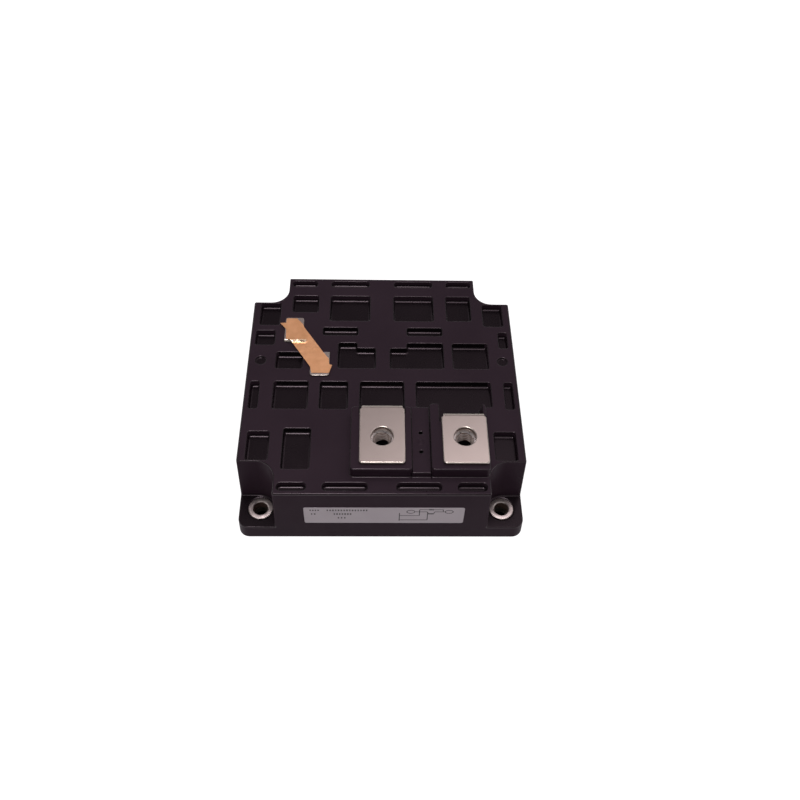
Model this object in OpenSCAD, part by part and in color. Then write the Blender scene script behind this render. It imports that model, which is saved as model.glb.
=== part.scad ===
// Single-switch IGBT power module: moulded housing and cover on a nickel-plated copper base plate,
// two M8 main terminals, two M4 auxiliary terminals shorted by a copper foil, and the
// power circuit inside. Millimetres, +Z up, origin at the middle of the underside.

/* [Housing] */
// Width of the module at its foot
module_w = 130; // [120:1:140]
// Depth of the module at its foot
module_d = 130; // [120:1:140]
// Height of the housing's top face
housing_h = 36; // [34:0.5:40]
// Draft of the moulded side walls, degrees
draft = 2; // [0.5:0.25:3]
// Radius of the housing's corners, seen from above
corner_r = 5; // [3:0.5:8]
// How far the plastic skirt stays above the mounting plane
skirt_gap = 0.2; // [0.1:0.05:0.5]
// Height of the four corner feet
foot_h = 8.3; // [7:0.1:10]
// How far each corner notch cuts in at the foot
notch = 17.1; // [15:0.1:18]
// Radius of the notch's inner corner
notch_r = 8; // [4:0.5:10]
// Thickness of the side walls at the foot
wall_t = 4; // [3:0.1:5]
// Thickness of the cover between the pockets and the cavity
top_t = 2.6; // [2:0.1:3.2]
// Plastic between the pocket floors and the joint of cover and housing
seam_below = 0.6; // [0.4:0.1:1.5]

/* [Mounting] */
// Distance of the mounting holes from the module's edges
hole_inset = 10; // [9:0.5:12]
// Diameter of the mounting holes
hole_d = 6.5; // [5.5:0.1:7.5]
// Outer diameter of the metal bushes
bush_d = 11.3; // [10:0.1:12]
// How far the bushes stand above the feet
bush_proud = 0.4; // [0.1:0.1:1]

/* [Base plate] */
// Thickness of the base plate
base_t = 4; // [3:0.5:5]
// Width of the skirt round the base plate
skirt_t = 2; // [1.5:0.1:3]

/* [Top pockets] */
// Depth of the pockets in the top face
pocket_depth = 3.4; // [2:0.1:4]
// Corner radius of the pockets
pocket_r = 1; // [0.5:0.1:1.5]
// Depth of the narrow slots along the front and back edges
slot_depth = 3; // [2:0.1:4]
// Width of the narrow slots
slot_w = 3.8; // [3:0.1:4.5]
// Distance of the slots' centre line from the top's front and back edges
slot_inset = 4; // [3.5:0.1:4.5]

/* [Main terminals] */
// Distance of the main screw axis in front of the middle
main_y = 38.9; // [37:0.1:40]
// Plastic between the collector strap and the notch beside it
edge_ledge = 0.63; // [0.5:0.01:1]
// Width of the main terminal straps
strap_w = 20; // [19:0.1:20.2]
// Thickness of the main terminal straps
strap_t = 2; // [1.5:0.1:2.5]
// How far the contact faces of the main terminals stand above the housing's top
main_rise = 8; // [7:0.5:11]
// Distance from the screw axis to the strap's front end
strap_front = 13.7; // [12:0.1:14]
// Distance from the screw axis to the emitter strap's bend
emitter_back = 17.6; // [15:0.1:18]
// Distance from the screw axis to the collector strap's bend
collector_back = 13.4; // [12:0.1:14]
// Screw clearance hole in the straps
strap_hole_d = 9.6; // [9:0.1:10]
// Width across the flats of the M8 nuts
main_nut_af = 13; // [12.5:0.1:13.4]
// Height of the M8 nuts
main_nut_h = 6.5; // [5:0.1:7]
// Minor diameter of the M8 thread
main_thread_d = 6.8; // [6:0.1:7.5]

/* [Auxiliary terminals] */
// Width of the auxiliary terminal tabs
aux_w = 9; // [8:0.1:9.6]
// Thickness of the auxiliary terminal tabs
aux_t = 0.8; // [0.6:0.05:1]
// How far the contact faces of the auxiliary terminals stand above the housing's top
aux_rise = 1; // [0.9:0.1:2]
// Length of the auxiliary tabs
aux_len = 14.6; // [13:0.1:15]
// Width across the flats of the M4 nuts
aux_nut_af = 7; // [6:0.1:7.4]
// Height of the M4 nuts
aux_nut_h = 3.2; // [2.5:0.1:3.4]
// Minor diameter of the M4 thread
aux_thread_d = 3.3; // [3:0.05:3.6]
// Thickness of the shorting foil
foil_t = 0.2; // [0.1:0.05:0.3]

/* [Label] */
// Width of the rating label
label_w = 70.6; // [50:0.2:80]
// Height of the rating label
label_h = 12.8; // [10:0.2:16]
// Thickness of the rating label
label_t = 0.15; // [0.1:0.05:0.25]
// Height of the label's middle above the mounting plane
label_z = 19.2; // [17:0.1:21]

/* [Power circuit] */
// Gap between the substrates, side to side
substrate_gap_w = 6; // [4:0.5:8]
// Gap between the substrates, front to back
substrate_gap_d = 4; // [3:0.5:6]
// Thickness of the ceramic
ceramic_t = 0.7; // [0.4:0.05:1]
// Thickness of the bonded copper layers
copper_t = 0.3; // [0.2:0.05:0.4]
// Thickness of the chips
chip_t = 0.4; // [0.2:0.05:0.5]
// Side of the IGBT chips, as a share of the substrate's depth
igbt_share = 0.3; // [0.25:0.01:0.31]
// Side of the diode chips, as a share of the substrate's depth
diode_share = 0.2; // [0.15:0.01:0.21]
// Diameter of the aluminium bond wires
bond_d = 0.5; // [0.4:0.05:0.6]
// Thickness of the internal busbars
bus_t = 1.5; // [1:0.1:2]
// Top of the silicone gel
gel_top = 19; // [18.5:0.1:20]
// Top of the epoxy layer
epoxy_top = 23; // [22:0.1:24]

/* [Hidden] */
$fn = 48;
eps = 0.01;
fit = 0.1;               // play round a nut or a strap in the plastic
press = 0.05;            // gap between a bush and its seat
label_gap = 0.02;        // adhesive between the label and the wall

quadrants = [[-1, 1], [1, 1], [-1, -1], [1, -1]];

slope = tan(draft);
top_half_w = module_w / 2 - slope * housing_h;   // half width at the top face
top_half_d = module_d / 2 - slope * housing_h;
notch_top = notch + slope * (housing_h - foot_h);
notch_x = module_w / 2 - notch_top;              // notch wall at the top face
notch_y = module_d / 2 - notch_top;
cavity_top = housing_h - pocket_depth - top_t;
seam_z = housing_h - pocket_depth - seam_below;  // joint of the cover and the housing
slot_y = top_half_d - slot_inset;
rim = 2.6;                                       // land between the outer pockets and the edge
outer_x = top_half_w - rim;                      // where the outermost pockets end
column_x = outer_x - 1.2;                        // where the corner pockets end

// Terminal pedestals and the bridge between them
main_h = housing_h + main_rise;                  // contact faces of the main terminals
strap_bottom = main_h - strap_t;                 // also the top of the pedestals
pedestal_side = 3.9;                             // ledge beside the emitter strap
pedestal_inner = 3;                              // ledge between strap and bridge
pedestal_front = 2.2;                            // ledge in front of the straps
pedestal_r = 1.6;
channel_len = 4.5;                               // free space in front of each bend
bridge_h = housing_h + 0.4 * main_rise;
bridge_hole_d = 1.4;
bridge_hole_pitch = 10;
wall_behind = 5.8;                               // guard wall behind the collector bend
neck_w = strap_w - 3.6;                          // strap between its shoulders
shoulder = 1.8;
bend_r = 2.4;
strap_corner_r = 1.5;
nut_relief_d = 9;
nut_relief = 8.5;                                // screw space below each M8 nut
boss_wall = 2.5;
collector_x = notch_x - edge_ledge - strap_w / 2;
bridge_x0 = strap_w / 2 + pedestal_inner;        // left side of the bridge
bridge_x1 = collector_x - strap_w / 2 - 5.1;     // right side of the bridge
pedestal_front_y = -(main_y + strap_front + pedestal_front);
emitter_bend_y = -main_y + emitter_back;
collector_bend_y = -main_y + collector_back;

// Auxiliary terminals: [x, y of the screw axis], and which way the bend lies
gate_at = [-42.7, 28.4];
aux_emitter_at = [-29.4, 7.2];
aux_h = housing_h + aux_rise;                    // contact faces of the auxiliary terminals
aux_bottom = aux_h - aux_t;
aux_hole_d = 5;
aux_corner_r = 1.2;
aux_leg_w = 6;
aux_relief_d = 4.6;
aux_relief = 6;

// Power circuit levels
ceramic_z = base_t + copper_t;
pad_z = ceramic_z + ceramic_t;
chip_z = pad_z + copper_t;
wire_z = chip_z + chip_t;
collector_bus_z = 12;
emitter_bus_z = 16;
substrate_w = module_w / 2 - 12 - substrate_gap_w / 2;
substrate_d = module_d / 2 - notch - 5.9 - substrate_gap_d / 2;
substrate_at = [(substrate_w + substrate_gap_w) / 2, (substrate_d + substrate_gap_d) / 2];
igbt_side = igbt_share * substrate_d;
diode_side = diode_share * substrate_d;
chip_xs = [-0.32 * substrate_w, -0.04 * substrate_w, 0.24 * substrate_w];
igbt_y = -0.24 * substrate_d;
diode_y = 0.04 * substrate_d;
pad_x = 0.46 * substrate_w;
// Copper pads, corner to corner on a substrate
gate_pad = [[-pad_x, -0.48 * substrate_d], [pad_x, -0.425 * substrate_d]];
collector_pad = [[-pad_x, -0.405 * substrate_d], [pad_x, 0.175 * substrate_d]];
emitter_pad = [[-pad_x, 0.205 * substrate_d], [pad_x, 0.45 * substrate_d]];
bond_end_y = 0.28 * substrate_d;
bond_rise = 2.4;
bond_offsets = [-0.25 * igbt_side, 0, 0.25 * igbt_side];
gate_wire_z = 10.2;
gate_wire_d = 1.2;

module body_colour() { color([0.13, 0.12, 0.13]) children(); }
module nickel() { color([0.72, 0.70, 0.67]) children(); }

// ---------- shapes used more than once ----------

// Rounded rectangle between two corners
module round_rect(a, b, r) {
    x0 = min(a[0], b[0]);
    x1 = max(a[0], b[0]);
    y0 = min(a[1], b[1]);
    y1 = max(a[1], b[1]);
    translate([x0 + r, y0]) square([x1 - x0 - 2 * r, y1 - y0]);
    translate([x0, y0 + r]) square([x1 - x0, y1 - y0 - 2 * r]);
    for (x = [x0 + r, x1 - r], y = [y0 + r, y1 - r])
        translate([x, y]) circle(r);
}

// The same rectangle on the left and on the right
module both_sides() {
    children();
    mirror([1, 0]) children();
}

// Hexagonal prism measured across its flats
module hex(af, h) {
    cylinder(d = af / cos(30), h = h, $fn = 6);
}

module at_holes(only = [0, 1, 2, 3]) {
    for (i = only)
        translate([quadrants[i][0] * (module_w / 2 - hole_inset),
                   quadrants[i][1] * (module_d / 2 - hole_inset), 0])
            children();
}

// ---------- housing ----------

// Outer block with drafted walls
module drafted_block() {
    h = housing_h - skirt_gap;
    shrink = slope * h;
    translate([0, 0, skirt_gap])
        linear_extrude(height = h, scale = [(module_w - 2 * shrink) / module_w,
                                            (module_d - 2 * shrink) / module_d], $fn = 32)
            round_rect([-module_w / 2, -module_d / 2], [module_w / 2, module_d / 2], corner_r);
}

// One corner notch above a foot, widening upwards with the draft
module corner_notch() {
    up = main_h - foot_h + 1;
    grow = (notch + slope * up) / notch;
    spare = 5;
    translate([module_w / 2, module_d / 2, foot_h])
        mirror([1, 0, 0]) mirror([0, 1, 0])
            linear_extrude(height = up, scale = grow, $fn = 32) {
                translate([-spare, -spare]) square([notch + spare - notch_r, notch + spare]);
                translate([-spare, -spare]) square([notch + spare, notch + spare - notch_r]);
                translate([notch - notch_r, notch - notch_r]) circle(notch_r);
            }
}

// Pedestal under one main strap, from x0 to x1 and back to y1
module pedestal(x0, x1, y1) {
    translate([0, 0, housing_h - eps])
        linear_extrude(height = strap_bottom - housing_h + eps)
            round_rect([x0, pedestal_front_y], [x1, y1], pedestal_r);
}

module pedestals() {
    pedestal(-strap_w / 2 - pedestal_side, bridge_x0, emitter_bend_y - 0.2);
    pedestal(bridge_x1, notch_x - slope * (strap_bottom - housing_h) - eps,
             collector_bend_y + wall_behind);
    translate([bridge_x0 - eps, pedestal_front_y, housing_h - eps])
        cube([bridge_x1 - bridge_x0 + 2 * eps,
              collector_bend_y + wall_behind - pedestal_front_y, bridge_h - housing_h + eps]);
}

// Outlines of the top pockets, seen from above
module edge_slots() {
    for (side = [-1, 1]) {
        y0 = side * slot_y - slot_w / 2;
        y1 = side * slot_y + slot_w / 2;
        both_sides() round_rect([6.4, y0], [25.6, y1], slot_w / 2 - 0.3);
        both_sides() round_rect([32.8, y0], [notch_x - 1.7, y1], slot_w / 2 - 0.3);
    }
    round_rect([-28.7, 25.6], [-11.7, 30.5], pocket_r);
    round_rect([12.3, 25.6], [29.4, 30.5], pocket_r);
}

module pockets() {
    // second row from the back
    both_sides() round_rect([6, 35.1], [25.6, 51.5], pocket_r);
    round_rect([2.7 - notch_x, 40.6], [-31.7, 51.5], pocket_r);
    round_rect([32.2, 35.4], [notch_x - 2.7, 51.5], pocket_r);
    // outer columns
    both_sides() round_rect([column_x - 9.7, 32], [column_x, notch_y - 0.7], pocket_r);
    both_sides() round_rect([column_x - 9.7, -31.3], [column_x, 0.7 - notch_y], pocket_r);
    both_sides() round_rect([outer_x - 4.1, -18.5], [outer_x, -3.1], pocket_r);
    round_rect([-outer_x, 19.3], [9.2 - outer_x, 28.2], pocket_r);
    round_rect([outer_x - 4.3, 18], [outer_x, 27.8], pocket_r);
    // third row, with the two stepped pockets
    round_rect([-50.3, 4.9], [-37.8, 14.7], pocket_r);
    round_rect([34, 5.2], [51, 20.6], pocket_r);
    round_rect([-20.9, 5.2], [-3.1, 17.4], pocket_r);
    round_rect([-20.9, 5.2], [-12, 20.7], pocket_r);
    round_rect([4, 5.2], [29.5, 17.4], pocket_r);
    round_rect([12, 5.2], [29.5, 20.7], pocket_r);
    // fourth row and the lone pocket in front of it
    round_rect([-50.3, -18.6], [-34.3, -3], pocket_r);
    round_rect([-28.8, -18.6], [-15.9, -3], pocket_r);
    round_rect([-44.1, -50.8], [-31.9, -29.6], pocket_r);
    round_rect([bridge_x1 - 5.3, -17.3], [50.8, -3], pocket_r);
}

// Space behind each pedestal where the strap comes up
module strap_channels() {
    half = strap_w / 2 + 0.2;
    round_rect([-half, emitter_bend_y - channel_len], [half, -3], pocket_r);
    round_rect([collector_x - half - 0.5, collector_bend_y - channel_len],
               [collector_x + neck_w / 2 + 0.7, -4.5], pocket_r);
}

module ejector_dimples() {
    both_sides() translate([outer_x - 3.5, 9.6]) circle(2.4);
}

// Nut pocket from the top, with room for the screw's end below it
module nut_pocket(top, af, h, relief_d, relief) {
    translate([0, 0, top - h]) hex(af + 2 * fit, h + 1);
    translate([0, 0, top - h - relief]) cylinder(d = relief_d, h = relief + eps);
}

module nut_boss(top, h, relief_d, relief) {
    bottom = top - h - relief - boss_wall;
    translate([0, 0, bottom]) cylinder(d = relief_d + 2 * boss_wall, h = cavity_top - bottom + 1);
}

module main_axes() {
    for (x = [0, collector_x]) translate([x, -main_y, 0]) children();
}

module aux_axes() {
    for (p = [gate_at, aux_emitter_at]) translate([p[0], p[1], 0]) children();
}

// Free space inside, clear of the notches, less a gap all round
module cavity(z0, z1, gap) {
    x = module_w / 2 - wall_t - gap;
    y = module_d / 2 - wall_t - gap;
    xn = module_w / 2 - notch_top - wall_t + 1 - gap;
    yn = module_d / 2 - notch_top - wall_t + 1 - gap;
    translate([0, 0, z0]) linear_extrude(height = z1 - z0) {
        square([2 * x, 2 * yn], center = true);
        square([2 * xn, 2 * y], center = true);
    }
}

module cavity_inside(z0, z1, gap = 0) {
    intersection() {
        cavity(z0, z1, gap);
        lean = slope * cavity_top + wall_t + gap;
        translate([lean - module_w / 2, lean - module_d / 2, z0])
            cube([module_w - 2 * lean, module_d - 2 * lean, z1 - z0]);
    }
}

module base_outline(gap) {
    x = module_w / 2 - skirt_t + gap;
    y = module_d / 2 - skirt_t + gap;
    round_rect([-x, -y], [x, y], corner_r - skirt_t + gap);
}

// Slots through the housing's top for the four straps
module strap_slots() {
    down = housing_h - cavity_top + 2;
    for (s = [[0, emitter_bend_y, neck_w, strap_t],
              [collector_x, collector_bend_y, neck_w, strap_t]])
        translate([s[0] - s[2] / 2 - fit, s[1] - s[3] - fit, cavity_top - 1])
            cube([s[2] + 2 * fit, s[3] + 2 * fit, down]);
    for (s = [[gate_at, -1], [aux_emitter_at, 1]])
        translate([s[0][0], s[0][1], 0]) rotate([0, 0, s[1] > 0 ? 0 : 180])
            translate([-aux_w / 2 - fit, aux_len / 2 - aux_t - fit, cavity_top - 1])
                cube([aux_w + 2 * fit, aux_t + 2 * fit, down]);
}

// Walls and feet, open at the top until the gel and the epoxy are in
module housing() {
    body_colour() difference() {
        drafted_block();
        for (q = quadrants) scale_sign(q) corner_notch();
        cavity_inside(base_t - eps, seam_z + 1);
        translate([-module_w, -module_d, seam_z]) cube([2 * module_w, 2 * module_d, housing_h]);
        translate([0, 0, -eps]) linear_extrude(height = base_t + eps) base_outline(fit);
        at_holes() translate([0, 0, base_t - eps])
            cylinder(d = bush_d + 2 * press, h = foot_h);
    }
}

// What lies above the joint, and the collar that centres the cover in the housing
module cover_blank() {
    intersection() {
        drafted_block();
        union() {
            translate([-module_w, -module_d, seam_z]) cube([2 * module_w, 2 * module_d, housing_h]);
            cavity_inside(cavity_top, seam_z + 1, fit);
        }
    }
}

// Cover with the pockets, the pedestals and the nut pockets
module housing_cover() {
    body_colour() difference() {
        union() {
            difference() {
                union() {
                    cover_blank();
                    pedestals();
                }
                for (q = quadrants) scale_sign(q) corner_notch();
            }
            main_axes() nut_boss(strap_bottom, main_nut_h, nut_relief_d, nut_relief);
            aux_axes() nut_boss(aux_bottom, aux_nut_h, aux_relief_d, aux_relief);
        }
        translate([0, 0, housing_h - pocket_depth])
            linear_extrude(height = pocket_depth + eps) pockets();
        translate([0, 0, housing_h - pocket_depth])
            linear_extrude(height = main_h - housing_h + pocket_depth) strap_channels();
        translate([0, 0, housing_h - slot_depth])
            linear_extrude(height = slot_depth + eps) edge_slots();
        translate([0, 0, housing_h - 1]) linear_extrude(height = 1 + eps) ejector_dimples();
        main_axes() nut_pocket(strap_bottom, main_nut_af, main_nut_h, nut_relief_d, nut_relief);
        aux_axes() nut_pocket(aux_bottom, aux_nut_af, aux_nut_h, aux_relief_d, aux_relief);
        strap_slots();
        for (dy = [-0.5, 0.5])
            translate([(bridge_x0 + bridge_x1) / 2, -main_y + dy * bridge_hole_pitch, bridge_h - 4])
                cylinder(d = bridge_hole_d, h = 4 + eps, $fn = 24);
    }
}

// Mirrors a shape made in the +X +Y quadrant into quadrant q
module scale_sign(q) {
    mirror([q[0] < 0 ? 1 : 0, 0, 0]) mirror([0, q[1] < 0 ? 1 : 0, 0]) children();
}

// ---------- base plate, bushes and nuts ----------

module base_plate() {
    nickel() difference() {
        linear_extrude(height = base_t) base_outline(0);
        at_holes() translate([0, 0, -eps]) cylinder(d = hole_d, h = base_t + 2 * eps);
    }
}

module bush(i) {
    nickel() at_holes([i]) translate([0, 0, base_t]) difference() {
        h = foot_h + bush_proud - base_t;
        cylinder(d = bush_d, h = h);
        translate([0, 0, -eps]) cylinder(d = hole_d, h = h + 2 * eps);
        translate([0, 0, h - 0.4]) cylinder(d1 = hole_d, d2 = hole_d + 0.8 + eps, h = 0.4 + eps);
    }
}

// Hexagon nut with a countersunk thread mouth
module nut(af, h, thread_d, sink) {
    nickel() difference() {
        hex(af, h);
        translate([0, 0, -eps]) cylinder(d = thread_d, h = h + 2 * eps);
        translate([0, 0, h - sink])
            cylinder(d1 = thread_d, d2 = thread_d + 2 * sink + 2 * eps, h = sink + eps);
    }
}

module main_nut(x) {
    translate([x, -main_y, strap_bottom - main_nut_h]) nut(main_nut_af, main_nut_h, main_thread_d, 0.9);
}

module aux_nut(p) {
    translate([p[0], p[1], aux_bottom - aux_nut_h]) nut(aux_nut_af, aux_nut_h, aux_thread_d, 0.5);
}

// ---------- terminals ----------

// Flat contact end: front corners rounded, shoulders clipped at the bend.
// The screw axis is at the origin and the bend lies at +y.
module contact_outline(w, front, back, corner, clip) {
    round_rect([-w / 2, -front], [w / 2, 0], corner);
    polygon([[-w / 2, -front / 2], [w / 2, -front / 2], [w / 2, back - clip],
             [w / 2 - clip, back], [clip - w / 2, back], [-w / 2, back - clip]]);
}

// Side profile of a strap that turns down at y = 0, drawn in the YZ plane
module bend_profile(top, t, r, bottom, reach) {
    clear = max(reach, 2 * r) + 1;
    difference() {
        union() {
            translate([-r, top - r]) circle(r);
            translate([-reach, top - t]) square([reach - r, t]);
            translate([-t, bottom]) square([t, top - r - bottom]);
        }
        translate([-clear, bottom - 1]) square([clear - t, top - t - bottom + 1]);
    }
}

module bent_strap(w, top, t, r, bottom, reach) {
    translate([-w / 2, 0, 0]) rotate([90, 0, 90])
        linear_extrude(height = w) bend_profile(top, t, r, bottom, reach);
}

// Whole main terminal above the busbar
module main_strap(back, bottom) {
    difference() {
        union() {
            translate([0, 0, strap_bottom]) linear_extrude(height = strap_t)
                contact_outline(strap_w, strap_front, back - bend_r, strap_corner_r, shoulder);
            translate([0, back, 0]) bent_strap(neck_w, main_h, strap_t, bend_r, bottom, bend_r + 1);
        }
        translate([0, 0, strap_bottom - eps]) cylinder(d = strap_hole_d, h = strap_t + 2 * eps);
    }
}

// Foot that lands on a copper pad, with its sole towards +x
module bus_foot(bus_z, w) {
    sole = 3.4;
    translate([-bus_t, -w / 2, chip_z]) cube([bus_t, w, bus_z - chip_z + eps]);
    translate([-bus_t, -w / 2, chip_z]) cube([sole, w, 1]);
}

module emitter_terminal() {
    spread = substrate_at[0] + 8;
    nickel() {
        translate([0, -main_y, 0]) main_strap(emitter_back, emitter_bus_z);
        // neck from the leg to the bar across the middle
        translate([-neck_w / 2, emitter_bend_y - strap_t, emitter_bus_z])
            cube([neck_w, -emitter_bend_y + strap_t, bus_t]);
        translate([-spread, -9, emitter_bus_z]) cube([2 * spread, 18, bus_t]);
        for (q = quadrants)
            translate([q[0] * substrate_at[0], q[1] * 6.8, 0]) rotate([0, 0, 90 * q[1]])
                bus_foot(emitter_bus_z, 16);
    }
}

module collector_terminal() {
    nickel() {
        translate([collector_x, -main_y, 0]) main_strap(collector_back, collector_bus_z);
        // arm from the leg to the spine, then the spine itself
        translate([0, collector_bend_y - 12, collector_bus_z])
            cube([collector_x + neck_w / 2, 12, bus_t]);
        translate([-9, -31, collector_bus_z]) cube([18, 62, bus_t]);
        for (q = quadrants)
            translate([q[0] * 6.3, q[1] * 25, 0]) rotate([0, 0, q[0] > 0 ? 0 : 180])
                bus_foot(collector_bus_z, 8);
    }
}

// Auxiliary tab over its nut; turned by 180 degrees when the bend lies in front
module aux_tab(p, turn, bottom) {
    translate([p[0], p[1], 0]) rotate([0, 0, turn]) difference() {
        union() {
            translate([0, 0, aux_bottom]) linear_extrude(height = aux_t)
                contact_outline(aux_w, aux_len / 2, aux_len / 2 - aux_t - 0.4, aux_corner_r, 0);
            translate([0, aux_len / 2, 0])
                bent_strap(aux_w, aux_h, aux_t, aux_t + 0.4, cavity_top, aux_t + 1);
            translate([-aux_leg_w / 2, aux_len / 2 - aux_t, bottom])
                cube([aux_leg_w, aux_t, cavity_top - bottom + eps]);
        }
        translate([0, 0, aux_bottom - eps]) cylinder(d = aux_hole_d, h = aux_t + 2 * eps);
    }
}

module gate_terminal() {
    nickel() aux_tab(gate_at, 180, gate_wire_z);
}

module aux_emitter_terminal() {
    bus_top = emitter_bus_z + bus_t;
    leg_y = aux_emitter_at[1] + aux_len / 2;
    nickel() {
        aux_tab(aux_emitter_at, 0, bus_top);
        translate([aux_emitter_at[0] - aux_leg_w / 2, 6, bus_top]) cube([aux_leg_w, leg_y - 6, aux_t]);
    }
}

function foil_points(shares, at) = [for (p = shares) [at[0] + p[0] * aux_w, at[1] + p[1] * aux_len]];

// Thin copper foil laid over both auxiliary tabs
module shorting_foil() {
    // points as shares of a tab's width and length, from its screw axis
    gate_right = [[-0.49, 0.48], [0.12, 0.51], [0.48, 0.205], [0.53, 0.07]];
    emitter_end = [[0.12, 0.48], [0.455, 0.19], [0.5, -0.055], [0.645, -0.08], [0.555, -0.29],
                   [0.5, -0.405], [-0.42, -0.405], [-0.51, -0.15]];
    gate_left = [[-0.1, -0.555], [-0.41, -0.425], [-0.435, -0.015], [-0.79, 0.255], [-0.49, 0.265]];
    outline = concat(foil_points(gate_right, gate_at), foil_points(emitter_end, aux_emitter_at),
                     foil_points(gate_left, gate_at));
    color([0.78, 0.5, 0.32]) translate([0, 0, aux_h]) linear_extrude(height = foil_t) polygon(outline);
}

// Label stuck on the drafted front wall
module label() {
    wall_y = -module_d / 2 + slope * (label_z - skirt_gap);
    color([0.55, 0.51, 0.5])
        translate([1.1, wall_y, label_z]) rotate([90 - draft, 0, 0])
            translate([0, 0, label_gap]) linear_extrude(height = label_t)
                round_rect([-label_w / 2, -label_h / 2], [label_w / 2, label_h / 2], 1);
}

// ---------- power circuit ----------

// Moves a part made on a substrate to quadrant i, emitter side towards the middle
module on_substrate(i) {
    q = quadrants[i];
    scale_sign(q) translate([substrate_at[0], substrate_at[1], 0]) mirror([1, 0, 0]) mirror([0, 1, 0])
        children();
}

module pad(corners, z, t) {
    translate([corners[0][0], corners[0][1], z])
        cube([corners[1][0] - corners[0][0], corners[1][1] - corners[0][1], t]);
}

module ceramic_substrate(i) {
    color([0.9, 0.9, 0.88]) on_substrate(i)
        translate([-substrate_w / 2, -substrate_d / 2, ceramic_z])
            cube([substrate_w, substrate_d, ceramic_t]);
}

module copper_layers(i) {
    rim = 1;
    color([0.85, 0.5, 0.3]) on_substrate(i) {
        translate([rim - substrate_w / 2, rim - substrate_d / 2, base_t])
            cube([substrate_w - 2 * rim, substrate_d - 2 * rim, copper_t]);
        for (p = [gate_pad, collector_pad, emitter_pad]) pad(p, pad_z, copper_t);
    }
}

module chips(side, y) {
    for (x = chip_xs) translate([x - side / 2, y - side / 2, chip_z]) cube([side, side, chip_t]);
}

module igbt_chips(i) {
    color([0.35, 0.36, 0.4]) on_substrate(i) chips(igbt_side, igbt_y);
}

module diode_chips(i) {
    color([0.45, 0.45, 0.48]) on_substrate(i) chips(diode_side, diode_y);
}

// One bond wire as an arc in the YZ plane that rises h between y0 and y1
module bond(y0, y1, h) {
    half = (y1 - y0) / 2;
    r = (half * half + h * h) / (2 * h);
    turn = asin(half / r);
    translate([0, (y0 + y1) / 2, wire_z + h - r]) rotate([90, 0, 90]) rotate([0, 0, 90 - turn])
        rotate_extrude(angle = 2 * turn, $fn = 64) translate([r, 0]) circle(d = bond_d, $fn = 16);
}

module bond_wires(i) {
    color([0.8, 0.8, 0.82]) on_substrate(i) intersection() {
        for (x = chip_xs, dx = bond_offsets) translate([x + dx, 0, 0]) {
            bond(igbt_y + igbt_side / 6, diode_y - diode_side / 8, bond_rise);
            bond(diode_y + diode_side / 8, bond_end_y, bond_rise);
        }
        translate([-25, -25, wire_z]) cube([50, 50, 10]);
    }
}

// Insulated gate wire through the given points
module wire(points) {
    for (k = [0:len(points) - 2]) {
        a = points[k];
        v = points[k + 1] - a;
        translate(a) rotate([0, acos(v[2] / norm(v)), atan2(v[1], v[0])])
            cylinder(d = gate_wire_d, h = norm(v), $fn = 24);
        if (k > 0) translate(a) sphere(d = gate_wire_d, $fn = 24);
    }
}

module gate_wires() {
    y = substrate_at[1] - (gate_pad[0][1] + gate_pad[1][1]) / 2;
    leg_y = gate_at[1] - aux_len / 2 + aux_t;
    z = gate_wire_z + gate_wire_d / 2 + 0.5;
    up = [0, 0, gate_wire_z];
    low = [0, 0, chip_z];
    color([0.8, 0.75, 0.6]) {
        x = gate_at[0];
        wire([[x - 1, leg_y, z], [x - 1, y, z], [x - 1, y, chip_z]]);
        wire([[x + 1, leg_y - aux_t, z], [x + 1, -y, z], [x + 1, -y, chip_z]]);
        for (s = [-1, 1])
            wire([[-9, s * y, 0] + low, [-9, s * y, 0] + up, [9, s * y, 0] + up, [9, s * y, 0] + low]);
    }
}

// Everything that stands in the gel
module gel_cuts() {
    emitter_terminal();
    collector_terminal();
    gate_terminal();
    aux_emitter_terminal();
    gate_wires();
    for (i = [0:3]) on_substrate(i)
        translate([-substrate_w / 2, -substrate_d / 2, base_t - eps])
            cube([substrate_w, substrate_d, wire_z + 3.2 - base_t]);
}

module silicone_gel() {
    color([0.85, 0.9, 0.95]) difference() {
        cavity_inside(base_t, gel_top);
        gel_cuts();
    }
}

module epoxy_seal() {
    color([0.2, 0.2, 0.22]) difference() {
        cavity_inside(gel_top, epoxy_top);
        emitter_terminal();
        collector_terminal();
        gate_terminal();
        aux_emitter_terminal();
    }
}

housing();
housing_cover();
base_plate();
bush(0);  // bush_back_left
bush(1);  // bush_back_right
bush(2);  // bush_front_left
bush(3);  // bush_front_right
emitter_terminal();
collector_terminal();
main_nut(0);  // emitter_nut
main_nut(collector_x);  // collector_nut
gate_terminal();
aux_emitter_terminal();
aux_nut(gate_at);  // gate_nut
aux_nut(aux_emitter_at);  // aux_emitter_nut
shorting_foil();
label();
for (i = [0:3]) {
    ceramic_substrate(i);
    copper_layers(i);
    igbt_chips(i);
    diode_chips(i);
    bond_wires(i);
}
gate_wires();
silicone_gel();
epoxy_seal();
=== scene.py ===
"""Looks for the IGBT module: softened mouldings, satin nickel terminals, threaded nuts, knurled
bushes, a crumpled copper foil, a label with plain marks and a white studio.
Blender units are metres. Sizes of the part are written in millimetres and multiplied by MM;
the studio's are written in metres."""
import math

import bmesh
import bpy
import numpy as np
from mathutils import Matrix, Vector, noise
from mathutils.geometry import delaunay_2d_cdt


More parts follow.
